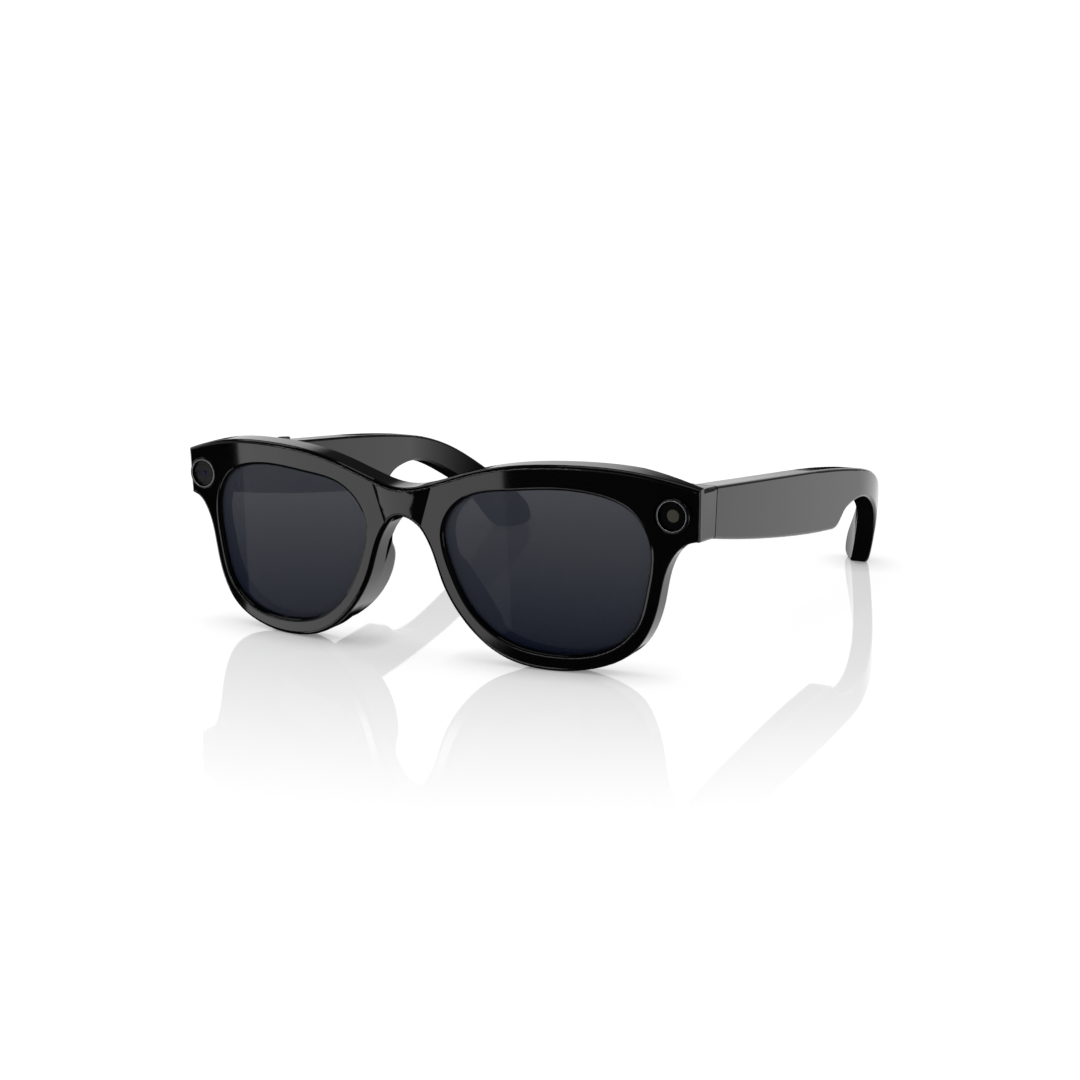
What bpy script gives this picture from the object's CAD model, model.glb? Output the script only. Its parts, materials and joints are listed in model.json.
"""Looks of the smart glasses: materials for every CAD node, small trim pieces, floor, light and camera."""

import bmesh
import bpy
import json
from math import cos, pi, radians, sin
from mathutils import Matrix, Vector


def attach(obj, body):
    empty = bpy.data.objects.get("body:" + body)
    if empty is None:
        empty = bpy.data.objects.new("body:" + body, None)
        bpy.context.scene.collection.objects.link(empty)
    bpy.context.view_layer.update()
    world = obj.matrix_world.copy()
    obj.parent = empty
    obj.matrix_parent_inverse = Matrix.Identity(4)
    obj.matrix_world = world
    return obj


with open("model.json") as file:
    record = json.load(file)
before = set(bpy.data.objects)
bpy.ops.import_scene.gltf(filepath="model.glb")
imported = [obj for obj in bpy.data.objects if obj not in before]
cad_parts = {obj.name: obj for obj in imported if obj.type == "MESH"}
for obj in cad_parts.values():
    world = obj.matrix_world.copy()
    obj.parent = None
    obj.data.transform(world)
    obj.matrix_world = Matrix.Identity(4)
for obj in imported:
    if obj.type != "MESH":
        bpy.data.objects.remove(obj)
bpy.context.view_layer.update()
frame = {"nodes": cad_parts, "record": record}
nodes = frame["nodes"]
MM = 0.001


# ---------------------------------------------------------------- material helpers
def add_node(tree, kind, inputs=None, **settings):
    """A new node with these settings. Each input is either linked to a socket or set to a value."""
    made = tree.nodes.new(kind)
    for key, value in settings.items():
        setattr(made, key, value)
    for key, value in (inputs or {}).items():
        if isinstance(value, bpy.types.NodeSocket):
            tree.links.new(value, made.inputs[key])
        else:
            made.inputs[key].default_value = value
    return made


class Graph:
    """A material's node tree, with short calls for the nodes that the materials here share."""

    def __init__(self, name):
        self.material = bpy.data.materials.new(name)
        self.material.use_nodes = True
        self.tree = self.material.node_tree
        self.tree.nodes.clear()
        self.output = self.tree.nodes.new("ShaderNodeOutputMaterial")
        self.place = self.tree.nodes.new("ShaderNodeTexCoord").outputs["Object"]

    def node(self, kind, inputs=None, **settings):
        return add_node(self.tree, kind, inputs, **settings)

    def noise(self, size, detail=3.0, stretch=(1, 1, 1)):
        """Noise with grains of about this size in millimetres."""
        mapped = self.node("ShaderNodeMapping", {"Vector": self.place, "Scale": stretch})
        return self.node(
            "ShaderNodeTexNoise", {"Vector": mapped.outputs[0], "Scale": 1 / (size * MM), "Detail": detail}
        ).outputs["Fac"]

    def ramp(self, value, stops):
        """Colour ramp through (place, colour) stops."""
        made = self.node("ShaderNodeValToRGB", {"Fac": value})
        elements = made.color_ramp.elements
        while len(elements) < len(stops):
            elements.new(0.5)
        for element, (place, colour) in zip(elements, stops):
            element.position = place
            element.color = colour
        return made.outputs["Color"]

    def span(self, value, low, high):
        """A factor from 0 to 1, spread over the range from low to high."""
        return self.node(
            "ShaderNodeMapRange", {"Value": value, "To Min": low, "To Max": high}
        ).outputs["Result"]

    def bump(self, height, strength, distance):
        """Surface relief of this depth in millimetres."""
        inputs = {"Height": height, "Strength": strength, "Distance": distance * MM}
        return self.node("ShaderNodeBump", inputs).outputs["Normal"]

    def finish(self, **inputs):
        """The finished material, with these inputs on its surface shader."""
        shader = self.node("ShaderNodeBsdfPrincipled", inputs)
        self.tree.links.new(shader.outputs[0], self.output.inputs["Surface"])
        return self.material


def rgb(red, green, blue):
    """Opaque linear colour."""
    return (red, green, blue, 1)


def brighter(colour, factor):
    """The same colour, this many times brighter."""
    return rgb(*(factor * part for part in colour[:3]))


def polished_plastic(name, shade, gloss=0.05, mirror=0.5):
    """Polished moulding: faint flow variation, hairline polishing haze and a slight waviness."""
    g = Graph(name)
    deep = rgb(shade, shade, shade * 1.08)
    pale = rgb(shade * 1.5, shade * 1.5, shade * 1.7)
    colour = g.ramp(g.noise(14, 4), [(0.3, deep), (0.75, pale)])
    haze = g.noise(0.5, 6, (1, 0.12, 1))
    rough = g.span(haze, gloss * 0.7, gloss * 1.6)
    peel = g.bump(g.noise(3.5, 2), 0.06, 0.02)
    return g.finish(**{
        "Base Color": colour, "Roughness": rough, "Normal": peel, "Specular IOR Level": mirror,
    })


def moulded_matte(name, low, high, grain=0.25, rough=0.5):
    """Spark-eroded plastic with a fine grain."""
    g = Graph(name)
    texture = g.noise(grain, 8)
    colour = g.ramp(g.noise(6, 3), [(0.3, low), (0.7, high)])
    return g.finish(**{
        "Base Color": colour, "Roughness": g.span(texture, rough * 0.85, rough * 1.2),
        "Normal": g.bump(texture, 0.35, 0.03),
    })


def worked_metal(name, low, high, rough=0.28, brush=(1, 0.05, 1)):
    """Brushed, plated or turned metal, with fine lines along one way unless the brush is even."""
    g = Graph(name)
    lines = g.noise(0.12, 5, brush)
    colour = g.ramp(g.noise(2.5, 4), [(0.3, low), (0.7, high)])
    return g.finish(**{
        "Base Color": colour, "Metallic": 1.0, "Roughness": g.span(lines, rough * 0.7, rough * 1.4),
        "Normal": g.bump(lines, 0.2, 0.01),
    })


LENS_BOTTOM = 4 * MM      # heights between which the lens's tint changes
LENS_TOP = 44 * MM


def tinted_lens(name):
    """Sun lens: a dark blue-grey tint that lets less light through towards the bottom."""
    g = Graph(name)
    height = g.node("ShaderNodeSeparateXYZ", {"Vector": g.place}).outputs["Z"]
    level = g.node(
        "ShaderNodeMapRange", {"Value": height, "From Min": LENS_BOTTOM, "From Max": LENS_TOP}
    ).outputs["Result"]
    tint = g.ramp(level, [(0.0, rgb(0.012, 0.017, 0.036)), (1.0, rgb(0.052, 0.058, 0.074))])
    solid = g.span(level, 0.93, 0.82)
    rough = g.span(g.noise(9, 3), 0.012, 0.03)
    return g.finish(**{
        "Base Color": tint, "Alpha": solid, "Roughness": rough, "IOR": 1.52, "Specular IOR Level": 0.05,
    })


def clear_cover(name, tint, alpha):
    """Thin coated window over the dark bore."""
    g = Graph(name)
    rough = g.span(g.noise(1.2, 3), 0.01, 0.03)
    colour = g.ramp(g.noise(3, 2), [(0.2, tint), (0.8, brighter(tint, 1.3))])
    return g.finish(**{
        "Base Color": colour, "Alpha": alpha, "Roughness": rough, "IOR": 1.5, "Specular IOR Level": 0.15,
    })


def circuit(name):
    """Solder mask over fine copper tracks."""
    g = Graph(name)
    tracks = g.node(
        "ShaderNodeTexBrick",
        {"Vector": g.place, "Scale": 900.0, "Mortar Size": 0.06, "Color1": rgb(0.02, 0.12, 0.06),
         "Color2": rgb(0.02, 0.15, 0.07), "Mortar": rgb(0.08, 0.3, 0.14)},
    )
    return g.finish(**{
        "Base Color": tracks.outputs["Color"], "Roughness": g.span(g.noise(0.4, 4), 0.25, 0.45),
        "Normal": g.bump(tracks.outputs["Fac"], 0.3, 0.02),
    })


def perforated(name):
    """Metal speaker mesh: a fine grid of dark holes."""
    g = Graph(name)
    holes = g.node(
        "ShaderNodeTexVoronoi", {"Vector": g.place, "Scale": 2600.0, "Randomness": 0.0}
    ).outputs["Distance"]
    colour = g.ramp(holes, [(0.25, rgb(0.002, 0.002, 0.002)), (0.4, rgb(0.05, 0.05, 0.055))])
    return g.finish(**{"Base Color": colour, "Metallic": 0.6, "Roughness": g.span(holes, 0.6, 0.35)})


def coated_element(name):
    """Camera element with a violet coating that deepens towards its edge."""
    g = Graph(name)
    facing = g.node("ShaderNodeLayerWeight", {"Blend": 0.35}).outputs["Facing"]
    colour = g.ramp(facing, [(0.0, rgb(0.008, 0.006, 0.03)), (0.6, rgb(0.03, 0.02, 0.12))])
    return g.finish(**{
        "Base Color": colour, "Roughness": g.span(g.noise(0.6, 3), 0.015, 0.035), "IOR": 2.6,
        "Specular Tint": rgb(0.72, 0.68, 1.0),
        "Coat Weight": 1.0, "Coat Tint": rgb(0.45, 0.4, 1.0),
    })


def frosted(name, low, high):
    """Smooth satin surface of a film or a diffuser."""
    g = Graph(name)
    colour = g.ramp(g.noise(0.5, 5), [(0.3, low), (0.7, high)])
    return g.finish(**{"Base Color": colour, "Roughness": g.span(g.noise(0.2, 4), 0.3, 0.5)})


UNBRUSHED = (1, 1, 1)
# every material slot of the record, with the function that makes its material and that function's values
SURFACES = {
    "frame_plastic": (polished_plastic, 0.0022),
    "pad_plastic": (polished_plastic, 0.0026, 0.07),
    "bezel_plastic": (polished_plastic, 0.0018, 0.035),
    "button_plastic": (polished_plastic, 0.003, 0.09),
    "light_cover": (polished_plastic, 0.0015, 0.25, 0.02),
    "slider_plastic": (moulded_matte, rgb(0.012, 0.012, 0.013), rgb(0.018, 0.018, 0.02)),
    "plate_plastic": (moulded_matte, rgb(0.006, 0.006, 0.007), rgb(0.01, 0.01, 0.011)),
    "speaker_case": (moulded_matte, rgb(0.01, 0.01, 0.011), rgb(0.016, 0.016, 0.018)),
    "switch_case": (moulded_matte, rgb(0.012, 0.012, 0.013), rgb(0.02, 0.02, 0.022)),
    "barrel_black": (moulded_matte, rgb(0.004, 0.004, 0.005), rgb(0.007, 0.007, 0.008), 0.15, 0.4),
    "lens_tint": (tinted_lens,),
    "window_glass": (clear_cover, rgb(0.006, 0.006, 0.007), 0.6),
    "camera_glass": (coated_element,),
    "diffuser": (frosted, rgb(0.034, 0.033, 0.014), rgb(0.048, 0.047, 0.02)),
    "emitter": (frosted, rgb(0.7, 0.66, 0.36), rgb(0.8, 0.77, 0.46)),
    "hinge_steel": (worked_metal, rgb(0.42, 0.42, 0.44), rgb(0.52, 0.52, 0.54)),
    "screw_steel": (worked_metal, rgb(0.25, 0.25, 0.26), rgb(0.34, 0.34, 0.36), 0.2),
    "core_steel": (worked_metal, rgb(0.5, 0.5, 0.52), rgb(0.58, 0.58, 0.6), 0.24),
    "battery_pouch": (worked_metal, rgb(0.6, 0.61, 0.63), rgb(0.7, 0.71, 0.73), 0.35, UNBRUSHED),
    "microphone_case": (worked_metal, rgb(0.6, 0.56, 0.44), rgb(0.68, 0.64, 0.52), 0.25),
    "contact_gold": (worked_metal, rgb(0.3, 0.24, 0.14), rgb(0.36, 0.29, 0.17), 0.18, UNBRUSHED),
    "copper_film": (worked_metal, rgb(0.68, 0.36, 0.2), rgb(0.76, 0.44, 0.26), 0.25, UNBRUSHED),
    "magnet_nickel": (worked_metal, rgb(0.62, 0.62, 0.63), rgb(0.7, 0.7, 0.71), 0.16, UNBRUSHED),
    "board_green": (circuit,),
    "flex_film": (frosted, rgb(0.3, 0.13, 0.03), rgb(0.4, 0.19, 0.05)),
    "speaker_grille": (perforated,),
}
LOOKS = {slot: make(slot, *values) for slot, (make, *values) in SURFACES.items()}

for subpart in frame["record"]["subparts"]:
    mesh = nodes[subpart["node"]].data
    mesh.materials.clear()
    mesh.materials.append(LOOKS[subpart["material_slot"]])


# ---------------------------------------------------------------- trim rings of the camera and the light
WINDOW_X = 67.9 * MM     # window axes, left and right of the middle
WINDOW_Z = 39.5 * MM
BRIDGE_FACE = -84.8 * MM
BEZEL_FACE = BRIDGE_FACE + 8.0 * MM
RING_STEPS = 96


def turned_ring(name, side, profile, slot):
    """A ring turned about a window's axis.

    The profile is a closed loop of (radius, depth behind the bezel's face) in millimetres.
    """
    mesh = bpy.data.meshes.new(name)
    work = bmesh.new()
    loops = []
    for step in range(RING_STEPS):
        angle = 2 * pi * step / RING_STEPS
        loop = []
        for radius, depth in profile:
            across = side * WINDOW_X + radius * MM * cos(angle)
            up = WINDOW_Z + radius * MM * sin(angle)
            loop.append(work.verts.new((across, BEZEL_FACE + depth * MM, up)))
        loops.append(loop)
    for step in range(RING_STEPS):
        near, far = loops[step], loops[(step + 1) % RING_STEPS]
        for corner in range(len(profile)):
            following = (corner + 1) % len(profile)
            work.faces.new((near[corner], near[following], far[following], far[corner]))
    bmesh.ops.remove_doubles(work, verts=work.verts, dist=1e-7)
    bmesh.ops.recalc_face_normals(work, faces=work.faces)
    work.to_mesh(mesh)
    work.free()
    ring = bpy.data.objects.new(name, mesh)
    bpy.context.scene.collection.objects.link(ring)
    bevel = ring.modifiers.new("soft_edges", "BEVEL")
    bevel.width = 0.05 * MM
    bevel.segments = 2
    bevel.limit_method = "ANGLE"
    mesh.shade_smooth()
    mesh.materials.append(LOOKS[slot])
    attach(ring, "front")


# bevelled seat around the camera barrel, behind the cover window
seat = [(2.75, 1.5), (2.9, 1.45), (3.45, 1.75), (3.45, 2.2), (2.75, 2.2)]
turned_ring("camera_seat_ring", -1, seat, "bezel_plastic")
# two fine baffle steps in the mouth of the barrel
for number, radius in enumerate((2.3, 1.85)):
    rim = radius + 0.14
    baffle = [(radius, 1.48), (rim, 1.48), (rim, 1.58), (radius, 1.58)]
    turned_ring(f"camera_baffle_{number}", -1, baffle, "bezel_plastic")
# bright inlays around the mouths of the two bezels
inlay = [(3.52, 0.05), (3.52, -0.02), (3.7, -0.02), (3.7, 0.05)]
for name, side in (("camera_inlay", -1), ("light_inlay", 1)):
    turned_ring(name, side, inlay, "screw_steel")
# small domed element in the middle of the camera's cover
bead = [(0.0, 0.3), (0.2, 0.33), (0.38, 0.43), (0.5, 0.6), (0.5, 0.66), (0.0, 0.66)]
turned_ring("camera_bead", -1, bead, "camera_glass")

# ---------------------------------------------------------------- floor
FLOOR_HALF = 6.0
REFLECTION_FULL = 0.09   # distance from the object's centre up to which the floor mirrors it
REFLECTION_GONE = 0.25
FAR_FROM = 0.25          # between these distances the floor's glow rises to meet the white background
FAR_TO = 1.5
FAR_GLOW = 0.15
CONTACT_REACH = 12 * MM  # reach of the dark rim where the object touches the floor
CONTACT_GLOW = 0.25      # glow of the floor under the object and away from it
OPEN_GLOW = 0.88


def floor_material():
    """Glossy white table whose mirror image fades away from the object."""
    g = Graph("floor")
    distance = g.node("ShaderNodeVectorMath", {0: g.place}, operation="LENGTH").outputs["Value"]
    near = g.node(
        "ShaderNodeMapRange",
        {
            "Value": distance, "From Min": REFLECTION_FULL, "From Max": REFLECTION_GONE,
            "To Min": 1.0, "To Max": 0.0,
        },
        interpolation_type="SMOOTHSTEP",
    ).outputs["Result"]
    sheen = g.node("ShaderNodeFresnel", {"IOR": 1.75}).outputs["Fac"]
    share = g.node("ShaderNodeMath", {0: near, 1: sheen}, operation="MULTIPLY").outputs[0]
    contact = g.node("ShaderNodeAmbientOcclusion", {"Distance": CONTACT_REACH}, samples=8).outputs["AO"]
    far = g.node("ShaderNodeMapRange", {
        "Value": distance, "From Min": FAR_FROM, "From Max": FAR_TO, "To Min": 0.0, "To Max": FAR_GLOW,
    }).outputs["Result"]
    open_glow = g.span(contact, CONTACT_GLOW, OPEN_GLOW)
    glow = g.node("ShaderNodeMath", {0: open_glow, 1: far}, operation="ADD").outputs[0]
    paint = g.node("ShaderNodeBsdfPrincipled", {
        "Base Color": rgb(0.9, 0.9, 0.9), "Roughness": 0.9, "Specular IOR Level": 0.0,
        "Emission Color": rgb(1, 1, 1), "Emission Strength": glow,
    })
    mirror = g.node("ShaderNodeBsdfGlossy", {"Color": rgb(1, 1, 1), "Roughness": 0.03})
    both = g.node("ShaderNodeMixShader", {"Fac": share, 1: paint.outputs[0], 2: mirror.outputs[0]})
    g.tree.links.new(both.outputs[0], g.output.inputs["Surface"])
    return g.material


bpy.ops.mesh.primitive_plane_add(size=2 * FLOOR_HALF)
floor = bpy.context.active_object
floor.name = "floor"
floor.data.materials.append(floor_material())
floor.visible_glossy = False

# ---------------------------------------------------------------- light
SIDE_GLOW = 1.0          # below the horizon, behind the object
WALL_GLOW = 0.9          # above it, on the wearer's right side
WALL_FAINT = 0.15        # above it, on the wearer's left side
BACKGROUND = 1.02        # what the camera sees: plain white


def studio_world():
    """Dark room with a low bright wall behind the object, seen as plain white by the camera."""
    world = bpy.data.worlds.new("studio")
    world.use_nodes = True
    tree = world.node_tree
    tree.nodes.clear()

    def node(kind, inputs=None, **settings):
        return add_node(tree, kind, inputs, **settings)

    direction = node("ShaderNodeTexCoord").outputs["Generated"]
    split = node("ShaderNodeSeparateXYZ", {"Vector": direction})
    across, back, height = split.outputs["X"], split.outputs["Y"], split.outputs["Z"]

    def step(value, low, high, at_low=0.0, at_high=1.0):
        return node("ShaderNodeMapRange", {
            "Value": value, "From Min": low, "From Max": high, "To Min": at_low, "To Max": at_high,
        }, interpolation_type="SMOOTHSTEP").outputs["Result"]

    def times(one, other):
        return node("ShaderNodeMath", {0: one, 1: other}, operation="MULTIPLY").outputs[0]

    # above the horizon: a low white wall, bright on one side and faint elsewhere
    wall = times(step(height, -0.01, 0.02), step(height, 0.3, 0.42, 1.0, 0.05))
    bright_wall = times(wall, step(across, 0.0, 0.25, WALL_GLOW, WALL_FAINT))
    lit_wall = times(bright_wall, step(back, -0.2, 0.3, 0.3, 1.0))
    # below it: a soft glow behind the object, except towards the wearer's right
    glow = times(step(back, 0.3, 0.95, 0.0, SIDE_GLOW), step(across, -0.28, -0.18))
    low_glow = times(glow, step(height, -0.02, 0.01, 1.0, 0.0))
    total = node("ShaderNodeMath", {0: lit_wall, 1: low_glow}, operation="ADD").outputs[0]
    seen = node("ShaderNodeLightPath").outputs["Is Camera Ray"]
    strength = node("ShaderNodeMix", {0: seen, 2: total, 3: BACKGROUND}).outputs[0]
    background = node("ShaderNodeBackground", {"Color": (1, 1, 1, 1), "Strength": strength})
    output = node("ShaderNodeOutputWorld")
    tree.links.new(background.outputs[0], output.inputs["Surface"])
    return world


def softbox(name, azimuth, elevation, distance, width, height, radiance):
    """A rectangular light that faces the object, in metres and degrees. Azimuth is from -Y towards +X."""
    light = bpy.data.lights.new(name, "AREA")
    light.shape = "RECTANGLE"
    light.size = width
    light.size_y = height
    light.energy = radiance * pi * width * height
    lamp = bpy.data.objects.new(name, light)
    bpy.context.scene.collection.objects.link(lamp)
    turn, rise = radians(azimuth), radians(elevation)
    place = Vector((sin(turn) * cos(rise), -cos(turn) * cos(rise), sin(rise)))
    lamp.location = distance * place
    lamp.rotation_euler = place.to_track_quat("Z", "Y").to_euler()
    lamp.visible_camera = False


bpy.context.scene.world = studio_world()
# the front faces mirror what lies low in front of the object
softbox("front_left_low", -39.5, -11, 4.0, 3.3, 1.2, 1.5)
# a lower one is mirrored by the lower edges of the rims
softbox("front_left_floor", -35, -42, 4.0, 2.6, 1.0, 1.2)
# a small one is mirrored by the inner side of the left ear tip
softbox("back_right_low", -145, -11, 4.0, 1.2, 0.6, 0.6)
# a thin strip draws the light line along the front's upper edges
softbox("edge_strip", -30, 14, 4.0, 3.6, 0.1, 9.0)
# the others are seen only by edges and by views from above, behind and the sides
softbox("overhead", 0, 90, 2.0, 1.3, 1.3, 0.8)
softbox("left_side", 95, -9, 4.0, 2.2, 1.6, 1.2)
softbox("right_side", -95, -9, 4.0, 2.2, 1.6, 1.2)
softbox("back_left_high", 115, 45, 2.5, 1.2, 0.8, 1.0)
softbox("back_right_high", -100, 45, 2.5, 1.2, 0.8, 1.0)

# ---------------------------------------------------------------- camera
CAMERA_PLACE = Vector((0.2241, -0.4327, 0.1106))
CAMERA_FORWARD = Vector((-0.46276, 0.86505, -0.19378))
camera_data = bpy.data.cameras.new("camera")
camera_data.sensor_width = 36.0
camera_data.lens = 57.29
camera = bpy.data.objects.new("camera", camera_data)
camera.location = CAMERA_PLACE
camera.rotation_euler = CAMERA_FORWARD.to_track_quat("-Z", "Y").to_euler()
bpy.context.scene.collection.objects.link(camera)
bpy.context.scene.camera = camera
bpy.context.scene.view_settings.view_transform = "Standard"
